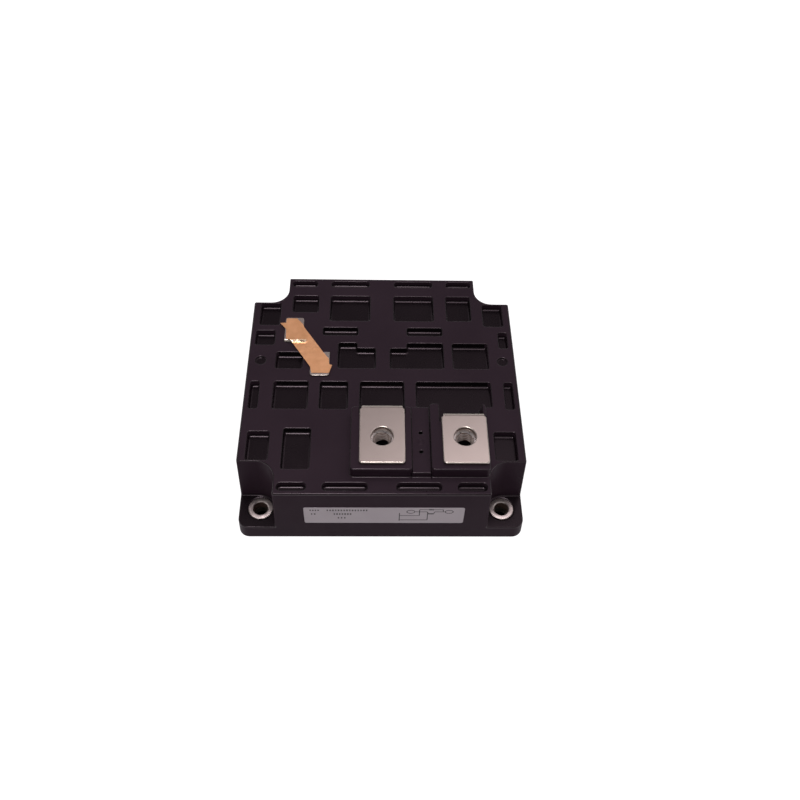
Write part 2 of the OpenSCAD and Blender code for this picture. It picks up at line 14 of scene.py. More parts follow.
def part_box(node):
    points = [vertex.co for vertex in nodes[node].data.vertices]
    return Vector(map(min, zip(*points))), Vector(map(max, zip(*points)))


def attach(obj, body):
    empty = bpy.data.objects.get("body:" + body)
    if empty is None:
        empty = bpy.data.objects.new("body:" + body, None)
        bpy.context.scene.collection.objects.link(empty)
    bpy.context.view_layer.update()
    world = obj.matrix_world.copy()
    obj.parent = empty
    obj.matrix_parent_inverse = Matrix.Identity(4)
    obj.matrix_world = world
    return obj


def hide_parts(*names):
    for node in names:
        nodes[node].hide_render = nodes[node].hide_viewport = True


MM = 0.001
DRAFT = math.radians(2)                          # lean of the housing's walls
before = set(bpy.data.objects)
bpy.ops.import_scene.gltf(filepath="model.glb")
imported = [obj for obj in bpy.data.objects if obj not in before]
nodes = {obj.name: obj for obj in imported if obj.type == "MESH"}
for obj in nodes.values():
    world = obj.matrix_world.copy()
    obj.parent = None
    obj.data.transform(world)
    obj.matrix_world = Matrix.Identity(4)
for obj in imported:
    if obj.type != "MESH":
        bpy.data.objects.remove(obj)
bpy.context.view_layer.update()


def box_mm(name):
    """Lowest and highest corner of a CAD node, in millimetres."""
    low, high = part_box(name)
    return low / MM, high / MM


# ---------- materials ----------

NOISE_LOW, NOISE_HIGH = 0.3, 0.7                 # the range that most of the noise lies in


def ramp(tree, source, low, high):
    """Colour ramp from low to high over a noise; colours are RGB triples."""
    node = tree.nodes.new("ShaderNodeValToRGB")
    node.color_ramp.elements[0].position = NOISE_LOW
    node.color_ramp.elements[1].position = NOISE_HIGH
    node.color_ramp.elements[0].color = (*low, 1)
    node.color_ramp.elements[1].color = (*high, 1)
    tree.links.new(source, node.inputs["Fac"])
    return node.outputs["Color"]


def spread(tree, source, low, high):
    """A noise spread between two numbers."""
    node = tree.nodes.new("ShaderNodeMapRange")
    node.inputs["From Min"].default_value = NOISE_LOW
    node.inputs["From Max"].default_value = NOISE_HIGH
    node.inputs["To Min"].default_value = low
    node.inputs["To Max"].default_value = high
    tree.links.new(source, node.inputs["Value"])
    return node.outputs["Result"]


def noise_of(tree, coords, size_mm, detail):
    """Noise whose features are about size_mm across, in the object's own space."""
    node = tree.nodes.new("ShaderNodeTexNoise")
    node.inputs["Scale"].default_value = 1 / (size_mm * MM)
    node.inputs["Detail"].default_value = detail
    tree.links.new(coords, node.inputs["Vector"])
    return node.outputs["Fac"]


def material(name, dark, light, rough, metallic=0.0, patch_mm=20, grain_mm=0.3, bump_mm=0.01,
             specular=0.5, tint=(1, 1, 1)):
    """Surface with patchy colour from dark to light, patchy roughness and a fine grain."""
    mat = bpy.data.materials.new(name)
    mat.use_nodes = True
    tree = mat.node_tree
    tree.nodes.clear()
    out = tree.nodes.new("ShaderNodeOutputMaterial")
    shader = tree.nodes.new("ShaderNodeBsdfPrincipled")
    tree.links.new(shader.outputs["BSDF"], out.inputs["Surface"])
    shader.inputs["Metallic"].default_value = metallic
    shader.inputs["Specular IOR Level"].default_value = specular
    shader.inputs["Specular Tint"].default_value = (*tint, 1)
    coords = tree.nodes.new("ShaderNodeTexCoord").outputs["Object"]
    patches = noise_of(tree, coords, patch_mm, 3.0)
    tree.links.new(ramp(tree, patches, dark, light), shader.inputs["Base Color"])
    mottle = noise_of(tree, coords, patch_mm / 3, 5.0)
    tree.links.new(spread(tree, mottle, rough[0], rough[1]), shader.inputs["Roughness"])
    grain = noise_of(tree, coords, grain_mm, 2.0)
    bump = tree.nodes.new("ShaderNodeBump")
    bump.inputs["Distance"].default_value = bump_mm * MM
    tree.links.new(grain, bump.inputs["Height"])
    tree.links.new(bump.outputs["Normal"], shader.inputs["Normal"])
    return mat


# The top and the walls carry a moulded grain; fillets, roundings and pocket floors are smoother
TEXTURED = {"patch_mm": 30, "grain_mm": 0.25, "bump_mm": 0.006, "tint": (1.0, 0.72, 0.88)}
SMOOTH = {"patch_mm": 30, "grain_mm": 0.4, "bump_mm": 0.002, "tint": (1.0, 0.8, 0.9)}
DEEP_BLACK = ((0.004, 0.0026, 0.0034), (0.006, 0.0040, 0.0052))
plastic = material("moulded_black_plastic", (0.023, 0.0153, 0.0206), (0.028, 0.0188, 0.0250),
                   (0.40, 0.46), specular=0.05, **TEXTURED)
# The outer walls get a lighter copy of the top's plastic with less sheen: painted light for how light falls
# on the walls
wall_painted_light_plastic = material("wall_black_plastic_painted_light", (0.030, 0.0175, 0.0255), (0.036, 0.0210, 0.0305),
                        (0.40, 0.46), specular=0.025, **TEXTURED)
polished_plastic = material("polished_black_plastic", *DEEP_BLACK, (0.24, 0.30), specular=0.36, **SMOOTH)
# Pocket floors and foot tops get a less reflective, darker copy of the polished plastic: painted shade in
# the recesses
recess_shaded_plastic = material("pocket_floor_shaded_plastic", *DEEP_BLACK, (0.24, 0.30), specular=0.17, **SMOOTH)
nickel = material("satin_nickel", (0.43, 0.378, 0.340), (0.45, 0.396, 0.358), (0.25, 0.27), 1.0,
                  patch_mm=9, grain_mm=0.2, bump_mm=0.0001)
nickel_plate = material("nickel_plated_base", (0.55, 0.50, 0.44), (0.66, 0.60, 0.53), (0.3, 0.42), 1.0,
                        patch_mm=25, grain_mm=0.2, bump_mm=0.003)
nut_steel = material("nut_steel", (0.60, 0.55, 0.53), (0.68, 0.63, 0.60), (0.26, 0.32), 1.0,
                     patch_mm=4, grain_mm=0.3, bump_mm=0.001)
bush_steel = material("bush_steel", (0.42, 0.37, 0.35), (0.60, 0.54, 0.51), (0.28, 0.40), 1.0,
                      patch_mm=2, grain_mm=0.2, bump_mm=0.008)
copper_foil = material("copper_foil", (0.70, 0.36, 0.17), (0.80, 0.43, 0.22), (0.34, 0.44), 0.85,
                       patch_mm=4, grain_mm=0.4, bump_mm=0.005)
copper = material("bonded_copper", (0.70, 0.34, 0.18), (0.82, 0.44, 0.26), (0.3, 0.42), 1.0, patch_mm=8)
label_film = material("label_film", (0.50, 0.44, 0.475), (0.535, 0.475, 0.51), (0.32, 0.42),
                      patch_mm=12, grain_mm=0.2, bump_mm=0.002, specular=0.4)
thread_steel = material("thread_steel", (0.52, 0.44, 0.41), (0.62, 0.54, 0.50), (0.34, 0.42), 0.3,
                        patch_mm=2, grain_mm=0.2, bump_mm=0.004)
# Paler foil on the raised lip and crumples: a painted highlight
foil_painted_highlight = material("foil_painted_highlight", (0.88, 0.64, 0.42), (0.96, 0.76, 0.54), (0.18, 0.32), 0.8,
                      patch_mm=2, grain_mm=0.4, bump_mm=0.005)
# Dark brown steel: partly stain and partly painted shade inside the holes; painted shade in the thread
# grooves
bore_shade_steel = material("stained_and_shaded_bore", (0.12, 0.075, 0.062), (0.19, 0.125, 0.10), (0.35, 0.5), 0.5,
                      patch_mm=2, grain_mm=0.2, bump_mm=0.01)
print_ink = material("print_ink", (0.018, 0.012, 0.014), (0.03, 0.022, 0.026), (0.45, 0.6), patch_mm=2)
alumina = material("alumina", (0.82, 0.82, 0.79), (0.9, 0.9, 0.88), (0.5, 0.6), patch_mm=6)
silicon = material("silicon", (0.14, 0.14, 0.18), (0.24, 0.24, 0.29), (0.1, 0.2), 0.6, patch_mm=4)
aluminium = material("bond_aluminium", (0.74, 0.74, 0.76), (0.84, 0.84, 0.86), (0.25, 0.35), 1.0, patch_mm=1)
insulation = material("wire_insulation", (0.62, 0.55, 0.38), (0.72, 0.65, 0.46), (0.35, 0.5), patch_mm=5)
gel = material("silicone_gel", (0.60, 0.66, 0.70), (0.68, 0.74, 0.78), (0.08, 0.16), patch_mm=15)
epoxy = material("cast_epoxy", (0.02, 0.02, 0.024), (0.035, 0.035, 0.04), (0.4, 0.5), patch_mm=10)

MATERIAL_OF = {
    "housing": plastic, "base_plate": nickel_plate, "bush": bush_steel, "emitter_nut": nut_steel,
    "collector_nut": nut_steel, "gate_nut": nut_steel, "aux_emitter_nut": nut_steel,
    "emitter_terminal": nickel, "collector_terminal": nickel, "gate_terminal": nickel,
    "aux_emitter_terminal": nickel, "shorting_foil": copper_foil, "label": label_film,
    "ceramic_substrate": alumina, "copper_layers": copper, "igbt_chips": silicon,
    "diode_chips": silicon, "bond_wires": aluminium, "gate_wires": insulation,
    "silicone_gel": gel, "epoxy_seal": epoxy,
}


def paint(obj, mat):
    obj.data.materials.clear()
    obj.data.materials.append(mat)


for name, obj in nodes.items():
    kind = max((k for k in MATERIAL_OF if name.startswith(k)), key=len)
    paint(obj, MATERIAL_OF[kind])


# ---------- mesh helpers ----------

def add_piece(name, bm, mat, slot, *stands_for):
    """Turns a bmesh in millimetres into a piece of the part, which may replace CAD nodes."""
    bmesh.ops.scale(bm, vec=(MM, MM, MM), verts=bm.verts)
    mesh = bpy.data.meshes.new(name)
    bm.to_mesh(mesh)
    bm.free()
    obj = bpy.data.objects.new(name, mesh)
    bpy.context.scene.collection.objects.link(obj)
    paint(obj, mat)
    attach(obj, "root")
    if stands_for:
        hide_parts(*stands_for)
    return obj


def repaint(obj, mat, chosen):
    """Gives one more material to the faces that chosen(centre in mm, normal) picks."""
    obj.data.materials.append(mat)
    for face in obj.data.polygons:
        if chosen(face.center / MM, face.normal):
            face.material_index = len(obj.data.materials) - 1


def smooth_by_angle(bm, degrees):
    """Smooth faces everywhere, with sharp edges where faces meet at more than the angle."""
    limit = math.radians(degrees)
    for face in bm.faces:
        face.smooth = True
    for edge in bm.edges:
        edge.smooth = len(edge.link_faces) == 2 and edge.calc_face_angle(0) < limit


def inside_edges(points, starts, ends):
    """For each point, whether it lies inside the outline made by the edges (even-odd rule)."""
    hits = np.zeros(len(points), int)
    for (ax, ay), (bx, by) in zip(starts, ends):
        if ay == by:
            continue
        spans = (ay > points[:, 1]) != (by > points[:, 1])
        cross = ax + (points[:, 1] - ay) / (by - ay) * (bx - ax)
        hits += spans & (points[:, 0] < cross)
    return hits % 2 == 1


LEVEL_SPREAD = 0.004                             # heights within this are one level
PLAIN_CORNERS = 9                                # a face with fewer corners never folds


def refill_flats(bm):
    """Meshes each level face that points up again as triangles, so that none folds over a hole."""
    levels = {}
    for face in bm.faces:
        heights = [v.co.z for v in face.verts]
        if face.normal.z > 0.999 and max(heights) - min(heights) < LEVEL_SPREAD:
            levels.setdefault(round(heights[0], 1), []).append(face)
    for faces in levels.values():
        if max(len(f.verts) for f in faces) < PLAIN_CORNERS:
            continue
        z = faces[0].verts[0].co.z
        chosen = set(faces)
        rim = [e for f in faces for e in f.edges if sum(g in chosen for g in e.link_faces) == 1]
        verts = list({v: None for e in rim for v in e.verts})
        index = {v: k for k, v in enumerate(verts)}
        flat = [Vector((v.co.x, v.co.y)) for v in verts]
        pairs = [(index[e.verts[0]], index[e.verts[1]]) for e in rim]
        spots, _, triangles, origins, *_ = delaunay_2d_cdt(flat, pairs, [], 0, 1e-4)
        centres = np.array([[sum(spots[k].x for k in t) / 3, sum(spots[k].y for k in t) / 3]
                            for t in triangles])
        starts = np.array([flat[a][:] for a, _ in pairs])
        ends = np.array([flat[b][:] for _, b in pairs])
        keep = inside_edges(centres, starts, ends)
        bmesh.ops.delete(bm, geom=faces, context="FACES_ONLY")
        corners = [verts[o[0]] if o else bm.verts.new((p.x, p.y, z)) for p, o in zip(spots, origins)]
        for triangle, kept in zip(triangles, keep):
            three = [corners[k] for k in triangle]
            if kept and len(set(three)) == 3 and not bm.faces.get(three):
                bm.faces.new(three)
        bm.normal_update()
    bmesh.ops.delete(bm, geom=[v for v in bm.verts if not v.link_faces], context="VERTS")


MERGE_MM = 0.002                                 # points closer than this become one
FLAT_DEGREES = 0.6                               # faces that meet at less than this become one
EDGE_DEGREES = 28                                # edges sharper than this may be rounded
SMOOTH_DEGREES = 40


def softened(node, weight_of, widest, mat, slot, reshape=None):
    """The CAD node's own shape with rounded edges: weight_of(edge, angle) gives each edge's share
    of the widest rounding, where the angle is positive on outer edges and negative on inner ones.
    reshape(bm) may move its points first."""
    bm = bmesh.new()
    bm.from_mesh(nodes[node].data)
    bmesh.ops.scale(bm, vec=(1 / MM, 1 / MM, 1 / MM), verts=bm.verts)
    bmesh.ops.remove_doubles(bm, verts=bm.verts, dist=MERGE_MM)
    bmesh.ops.dissolve_limit(bm, angle_limit=math.radians(FLAT_DEGREES), use_dissolve_boundaries=False,
                             verts=bm.verts, edges=bm.edges, delimit=set())
    if reshape:
        reshape(bm)
    weights = bm.edges.layers.float.new("bevel_weight_edge")
    sharp = math.radians(EDGE_DEGREES)
    for edge in bm.edges:
        if len(edge.link_faces) != 2:
            continue
        angle = edge.calc_face_angle_signed(0)
        if abs(angle) > sharp:
            edge[weights] = weight_of(edge, angle)
    plain = bpy.data.meshes.new("plain")
    bm.to_mesh(plain)
    bm.free()
    draft = bpy.data.objects.new("draft", plain)
    bpy.context.scene.collection.objects.link(draft)
    bevel = draft.modifiers.new("rounding", "BEVEL")
    bevel.limit_method = "WEIGHT"
    bevel.width = widest
    bevel.segments = 3
    bevel.use_clamp_overlap = False
    bevel.miter_outer = "MITER_ARC"
    rounded = bpy.data.meshes.new_from_object(draft.evaluated_get(bpy.context.evaluated_depsgraph_get()))
    bpy.data.objects.remove(draft)
    bm = bmesh.new()
    bm.from_mesh(rounded)
    refill_flats(bm)
    smooth_by_angle(bm, SMOOTH_DEGREES)
    for edge in bm.edges:                        # level faces keep their own shading up to the rim
        level = [f.normal.z > 0.9999 for f in edge.link_faces]
        if any(level) and not all(level):
            edge.smooth = False
    obj = add_piece(node + "_look", bm, mat, slot, node)
    normals = obj.modifiers.new("normals", "WEIGHTED_NORMAL")
    normals.keep_sharp = True
    return obj


def ring_mesh(rings):
    """Closed surface through rings of points; the last ring joins the first."""
    bm = bmesh.new()
    rows = [[bm.verts.new(p) for p in ring] for ring in rings]
    count = len(rows[0])
    for k, row in enumerate(rows):
        following = rows[(k + 1) % len(rows)]
        for j in range(count):
            step = (j + 1) % count
            bm.faces.new((row[j], row[step], following[step], following[j]))
    bmesh.ops.recalc_face_normals(bm, faces=bm.faces)
    return bm


# ---------- housing ----------

shell_high = box_mm("housing")[1]
SEAM_Z = shell_high.z                            # the cover's joint, flush and close enough not to show
TOP_Z = box_mm("gate_terminal")[1].z - 1         # the tabs stand 1 mm above the housing's top
FOOT_Z = 8.3                                     # height of the feet
NOTCH = 46.5                                     # the notches start about this far from the middle
TOP_HALF = 65 - math.tan(DRAFT) * TOP_Z          # half the width of the top face
POCKET_BAND = (TOP_Z - 5, TOP_Z - 1)             # the pockets' bottom edges lie between these heights
# Widths of the roundings
RIM = 0.38                                       # rims of the pockets
OUTER_RIM = 0.85                                 # the top's outer edge
POCKET_FILLET = 0.9
CORNER = 0.8                                     # upright edges of the notches
FOOT_EDGE = 0.5
WIDEST = POCKET_FILLET


def housing_weight(edge, angle):
    """Rounding of an edge that can be seen; edges inside, underneath and on the joint stay sharp."""
    a, b = (v.co for v in edge.verts)
    mid = (a + b) / 2
    if max(abs(a.z - SEAM_Z), abs(b.z - SEAM_Z)) < 0.01:
        return 0.0
    outside = abs(mid.x) > shell_high.x - 3 or abs(mid.y) > shell_high.y - 3
    in_notch = min(abs(mid.x), abs(mid.y)) > NOTCH and mid.z > FOOT_Z - 1
    if mid.z < POCKET_BAND[0] and not (outside or in_notch):
        return 0.0
    if mid.z < 0.5:
        return 0.0
    if POCKET_BAND[0] < mid.z < POCKET_BAND[1] and angle < 0:
        return POCKET_FILLET / WIDEST
    if abs((b - a).normalized().z) > 0.9 and in_notch and angle > 0:
        return CORNER / WIDEST
    if mid.z < FOOT_Z + 1:
        return FOOT_EDGE / WIDEST
    if abs(mid.z - TOP_Z) < 0.01 and max(abs(mid.x), abs(mid.y)) > TOP_HALF - 0.1:
        return OUTER_RIM / WIDEST
    return RIM / WIDEST


def is_outer_wall(centre, normal):
    return abs(normal.z) < 0.1 and max(abs(centre.x), abs(centre.y)) > NOTCH - 2


def is_polished(centre, normal):
    """Everything but the textured top and walls."""
    top = normal.z > 0.999 and centre.z > TOP_Z - 0.01
    return not (top or is_outer_wall(centre, normal))


def is_floor(centre, normal):
    """Pocket floors and the tops of the feet, which get a less reflective copy of the polished plastic:
    painted shade.
    """
    return normal.z > 0.999 and centre.z < TOP_Z - 0.01


for node in ("housing", "housing_cover"):
    shell = softened(node, housing_weight, WIDEST, plastic, "black_plastic")
    repaint(shell, polished_plastic, is_polished)
    # Pocket floors and foot tops get the darker copy: painted shade
    repaint(shell, recess_shaded_plastic, is_floor)
    # The outer walls get the lighter copy of the plastic: painted light
    repaint(shell, wall_painted_light_plastic, is_outer_wall)


BUMP_AT = (17.1, -38.9, 39.2)                    # on the bridge, midway between its two holes
BUMP_R, BUMP_H = 2.2, 0.6
BUMP_SINK = 0.05                                 # how far its foot lies inside the bridge


def bridge_bump():
    """Low round bump moulded on the bridge between the terminals."""
    bm = bmesh.new()
    count, rings = 32, 6
    turns = [math.tau * j / count for j in range(count)]
    rows = []
    for k in range(1, rings + 1):
        share = k / rings
        z = BUMP_AT[2] - BUMP_SINK + BUMP_H * (1 + math.cos(math.pi * share)) / 2
        rows.append([bm.verts.new((BUMP_AT[0] + BUMP_R * share * math.cos(t),
                                   BUMP_AT[1] + BUMP_R * share * math.sin(t), z)) for t in turns])
    bm.faces.new(rows[0])
    bm.faces.new(rows[-1][::-1])
    for inner, outer in zip(rows, rows[1:]):
        for j in range(count):
            step = (j + 1) % count
            bm.faces.new((inner[j], outer[j], outer[step], inner[step]))
    bmesh.ops.recalc_face_normals(bm, faces=bm.faces)
    smooth_by_angle(bm, 30)
    add_piece("bridge_bump", bm, plastic, "black_plastic")


bridge_bump()


# ---------- terminals ----------

STRAP_EDGE, TAB_EDGE = 0.4, 0.2                  # widths of the roundings
NECK_SHARE = 1.13                                # the neck's width, as a share of the solid's
NECK_FOOT, NECK_TOP = TOP_Z + 2, TOP_Z + 5       # the wider neck tapers back between these heights
SHOULDER_SHIFT = 1.1                             # how much further back the shoulders sit
HOLE_REACH = 6                                   # the hole's wall lies within this of its axis


def strap_weight(edge, angle):
    """Rounds the outer edges that stand above the housing."""
    mid = (edge.verts[0].co + edge.verts[1].co) / 2
    return 1.0 if mid.z > TOP_Z and angle > 0 else 0.0


def wider_neck(bm):
    """Widens a strap behind its shoulders, down to where the leg drops into the housing."""
    everything = bm.verts[:] + bm.edges[:] + bm.faces[:]
    bmesh.ops.bisect_plane(bm, geom=everything, plane_co=(0, 0, NECK_FOOT), plane_no=(0, 0, 1))
    plate = [v for v in bm.verts if v.co.z > NECK_TOP]
    left, right = min(v.co.x for v in plate), max(v.co.x for v in plate)
    middle, half = (left + right) / 2, (right - left) / 2
    shoulder = max(v.co.y for v in plate if abs(v.co.x - middle) > half - 0.05)
    for v in plate:
        if v.co.y > shoulder + 0.1:
            v.co.x = middle + (v.co.x - middle) * NECK_SHARE
        elif v.co.y > shoulder - 0.1 and abs(v.co.x - middle) > half - 0.05:
            v.co.y += SHOULDER_SHIFT


for node, nut in (("emitter_terminal", "emitter_nut"), ("collector_terminal", "collector_nut")):
    hole = sum(box_mm(nut), Vector()) / 2
    strap = softened(node, strap_weight, STRAP_EDGE, nickel, "nickel_strap", wider_neck)
    # The strap's hole wall is painted dark brown: partly stain, partly painted shade in the hole
    repaint(strap, bore_shade_steel,
            lambda spot, normal: abs(normal.z) < 0.2 and (spot - hole).xy.length < HOLE_REACH)
for node in ("gate_terminal", "aux_emitter_terminal"):
    softened(node, strap_weight, TAB_EDGE, nickel, "nickel_tab")


# ---------- nuts and bushes ----------

THREAD_PITCH, THREAD_DEPTH = 1.25, 0.55
THREAD_MINOR_R = 3.4
THREAD_REACH = THREAD_MINOR_R + 1                # the thread lies within this of the axis
GROOVE_FROM = THREAD_MINOR_R + 0.24              # beyond this radius the groove bottoms are painted dark: painted shade
SINK = 0.9                                       # depth of the countersink


def circle(centre, z, count, radius_of):
    """Ring of points at height z; radius_of(j, turn) gives each point's distance from the axis."""
    turns = [math.tau * j / count for j in range(count)]
    radii = [radius_of(j, turn) for j, turn in enumerate(turns)]
    return [(centre.x + r * math.cos(t), centre.y + r * math.sin(t), z) for r, t in zip(radii, turns)]


def threaded_nut(node):
    """Hexagon nut with a helical thread and a countersunk mouth."""
    low, high = box_mm(node)
    centre = (low + high) / 2
    flats = (high.y - low.y) / 2
    sector = math.tau / 6
    count, steps = 72, 36

    def hexagon(j, turn):
        return flats / math.cos((turn % sector) - sector / 2)

    rings = []
    for k in range(steps + 1):
        z = low.z + (high.z - low.z) * k / steps

        def thread(j, turn, z=z):
            phase = (z / THREAD_PITCH - turn / math.tau) % 1
            groove = THREAD_DEPTH * (1 - abs(2 * phase - 1))
            mouth = THREAD_MINOR_R + SINK - (high.z - z)
            return max(THREAD_MINOR_R + groove, mouth)

        rings.append(circle(centre, z, count, thread))
    rings.append(circle(centre, high.z, count, hexagon))
    rings.append(circle(centre, low.z, count, hexagon))
    bm = ring_mesh(rings)
    smooth_by_angle(bm, 30)
    nut = add_piece(node + "_look", bm, nut_steel, "nut_steel", node)

    def in_thread(spot, normal):
        return spot.z < high.z - SINK and (spot - centre).xy.length < THREAD_REACH

    repaint(nut, thread_steel, in_thread)
    # The groove bottoms get the dark bore steel: painted shade in the thread's recesses
    repaint(nut, bore_shade_steel,
            lambda spot, normal: in_thread(spot, normal) and (spot - centre).xy.length > GROOVE_FROM)


threaded_nut("emitter_nut")
threaded_nut("collector_nut")


BORE_R, CHAMFER = 3.25, 0.4
TEETH = 38
TOOTH = (0.0, 0.2, 0.38, 0.2)                    # depths of the knurl from one tooth to the next


def knurled_bush(node):
    """Turned bush whose outside is knurled."""
    low, high = box_mm(node)
    centre = (low + high) / 2
    outer = (high.x - low.x) / 2
    # height, radius and the knurl's share of its full depth, from the outside to the bore
    profile = [
        (low.z, outer, 1),
        (high.z - 0.14, outer, 1),
        (high.z - 0.04, outer - 0.06, 1),
        (high.z, outer - 0.24, 0.7),
        (high.z, BORE_R + CHAMFER, 0),
        (high.z - 0.12, BORE_R + CHAMFER - 0.16, 0),
        (high.z - CHAMFER, BORE_R, 0),
        (low.z, BORE_R, 0),
    ]
    rings = [circle(centre, z, TEETH * len(TOOTH),
                    lambda j, turn, r=r, depth=depth: r - depth * TOOTH[j % len(TOOTH)])
             for z, r, depth in profile]
    bm = ring_mesh(rings)
    smooth_by_angle(bm, 32)
    bush = add_piece(node + "_look", bm, bush_steel, "bush_steel", node)
    # The bore is painted dark brown: partly stain, partly painted shade in the hole
    repaint(bush, bore_shade_steel, lambda spot, normal: (spot - centre).xy.length < BORE_R + 0.05)


for node in ("bush_back_left", "bush_back_right", "bush_front_left", "bush_front_right"):
    knurled_bush(node)


# ---------- shorting foil ----------

gate_axis = sum(box_mm("gate_nut"), Vector()) / 2
emitter_axis = sum(box_mm("aux_emitter_nut"), Vector()) / 2
tab_low, tab_high = box_mm("gate_terminal")
TAB_W = tab_high.x - tab_low.x
TAB_L = 14.6                                     # length of a tab's contact face
FOIL_T = 0.07
FOIL_REST = 0.05                                 # the foil's mean height above a tab
FOIL_STEP = 0.35                                 # spacing of its points
LOOSE_BY = 1.5                                   # this far outside a tab the foil is fully loose
DENT_R, DENT_W, DENT_DEPTH = 2.2, 0.5, 0.10      # it sinks in round the rims of the tabs' holes
LIP_H = 1.1                                      # it stands up along the front edge of the gate tab
LIP_HALF, LIP_SHIFT, LIP_BACK = 4.2, 1.2, 0.4
LIP_FADE = 0.8
CREST = 0.35                                     # foil higher than this above the tabs gets a paler colour: a painted highlight


def foil_points(shares, axis):
    """Points given as shares of a tab's width and length, from its screw axis."""
    return [Vector((axis.x + x * TAB_W, axis.y + y * TAB_L)) for x, y in shares]


FOIL_OUTLINE = (
    foil_points([(-0.45, 0.46), (0.10, 0.47), (0.46, 0.205), (0.53, 0.07)], gate_axis)
    + foil_points([(0.12, 0.48), (0.455, 0.19), (0.5, -0.055), (0.645, -0.08), (0.555, -0.29),
                   (0.5, -0.405), (-0.42, -0.405), (-0.51, -0.15)], emitter_axis)
    + foil_points([(-0.1, -0.555), (-0.41, -0.425), (-0.44, -0.015), (-0.79, 0.255),
                   (-0.46, 0.265)], gate_axis)
)


def over_tab(point, axis):
    """How far a point lies outside a tab, in millimetres; 0 on the tab."""
    dx = max(0, abs(point.x - axis.x) - TAB_W / 2)
    dy = max(0, abs(point.y - axis.y) - TAB_L / 2)
    return math.hypot(dx, dy)


def foil_height(point):
    """Height of the foil above the tabs: flat on them, crumpled between and at the edges."""
    off = min(over_tab(point, gate_axis), over_tab(point, emitter_axis))
    loose = min(1, off / LOOSE_BY)
    p3 = Vector((point.x, point.y, 0))
    crease = 1 - abs(noise.noise(p3 * 0.55))
    fine = noise.noise(p3 * 1.6)
    height = FOIL_REST + 0.02 * fine + loose * (0.07 * crease ** 3 + 0.03 * fine)
    for axis in (gate_axis, emitter_axis):
        hole = math.hypot(point.x - axis.x, point.y - axis.y)
        height -= DENT_DEPTH * math.exp(-((hole - DENT_R) / DENT_W) ** 2)
    lip = math.hypot(max(0, abs(point.x - gate_axis.x - LIP_SHIFT) - LIP_HALF) / LIP_FADE,
                     (point.y - gate_axis.y + TAB_L / 2 + LIP_BACK) / LIP_FADE)
    ragged = 0.75 + 0.6 * noise.noise(p3 * 0.9 + Vector((7, 3, 1)))
    height += LIP_H * ragged * math.exp(-lip * lip)
    return max(0.02, height)


def crumpled_foil():
    """The foil as one sheet of triangles with a torn border, lying on the tabs."""
    step = FOIL_STEP
    border = []
    for a, b in zip(FOIL_OUTLINE, FOIL_OUTLINE[1:] + FOIL_OUTLINE[:1]):
        parts = max(1, round((b - a).length / step))
        side = Vector((b.y - a.y, a.x - b.x)).normalized()
        for k in range(parts):
            p = a.lerp(b, k / parts)
            wobble = 0.09 * noise.noise(Vector((p.x * 1.7, p.y * 1.7, 4)))
            border.append(p + side * wobble if k else p)
    low_x, high_x = min(p.x for p in border), max(p.x for p in border)
    low_y, high_y = min(p.y for p in border), max(p.y for p in border)
    grid = [Vector((low_x + (column + 0.5 * (row % 2)) * step, low_y + row * step))
            for row in range(int((high_y - low_y) / step))
            for column in range(int((high_x - low_x) / step))]
    starts = np.array([p[:] for p in border])
    within = inside_edges(np.array([p[:] for p in grid]), starts, np.roll(starts, -1, axis=0))
    points = border + [p for p, kept in zip(grid, within)
                       if kept and min((p - q).length for q in border) > 0.6 * step]
    face = list(range(len(border)))
    verts, _, faces, *_ = delaunay_2d_cdt(points, [], [face], 1, 1e-5)
    bm = bmesh.new()
    z0 = tab_high.z
    made = [bm.verts.new((v.x, v.y, z0 + foil_height(v))) for v in verts]
    for f in faces:
        bm.faces.new([made[i] for i in f])
    bmesh.ops.recalc_face_normals(bm, faces=bm.faces)
    if sum(f.normal.z for f in bm.faces) < 0:
        bmesh.ops.reverse_faces(bm, faces=bm.faces)
    smooth_by_angle(bm, 35)
    foil = add_piece("crumpled_foil", bm, copper_foil, "copper_foil", "shorting_foil")
    # The raised foil gets the paler colour: a painted highlight
    repaint(foil, foil_painted_highlight, lambda spot, normal: spot.z > z0 + CREST)
    thick = foil.modifiers.new("thickness", "SOLIDIFY")
    thick.thickness = FOIL_T * MM
    thick.offset = 1


crumpled_foil()


# ---------- print on the label ----------

label_low, label_high = box_mm("label")
UP = Vector((0, math.sin(DRAFT), math.cos(DRAFT)))     # up the label's face
OUT = Vector((0, -math.cos(DRAFT), math.sin(DRAFT)))   # out of it
INK = 0.012                                      # the print's thickness above the face
LINE_W = 0.42
WORD_PITCH = 1.25

# Rows of print: left end, right end, depth below the label's top, height
WORDS = ((-31.8, -27.2, 2.1, 1.0), (-31.4, -28.8, 5.2, 1.0), (-24.4, -6.0, 2.1, 1.3),
         (-21.4, -13.1, 5.2, 1.3), (-19.8, -15.6, 8.4, 1.2))
WIRE_DEPTH, TOP_DEPTH = 3.2, 1.4                 # depths of the sketch's main line and its top one
RING_XS, RING_RX, RING_RZ = (12.75, 29.65), 1.75, 1.3
# Lines of the sketch as (x, height from the main line)
SKETCH = (
    ((14.5, 0), (20.0, 0)),
    ((23.2, 0), (27.9, 0)),
    ((16.6, -3.2), (16.6, WIRE_DEPTH - TOP_DEPTH), (27.0, WIRE_DEPTH - TOP_DEPTH), (27.0, 0)),
    ((16.6, -3.2), (7.8, -3.2)),
    ((7.8, -1.0), (7.8, -7.6)),
    ((20.6, -1.4), (22.8, -1.4)),
    ((20.6, -1.4), (19.8, 0)),
    ((22.8, -1.4), (23.4, 0)),
    ((20.2, -0.5), (20.2, -6.9), (7.8, -6.9)),
    ((20.2, -1.9), (23.0, -1.9)),
)


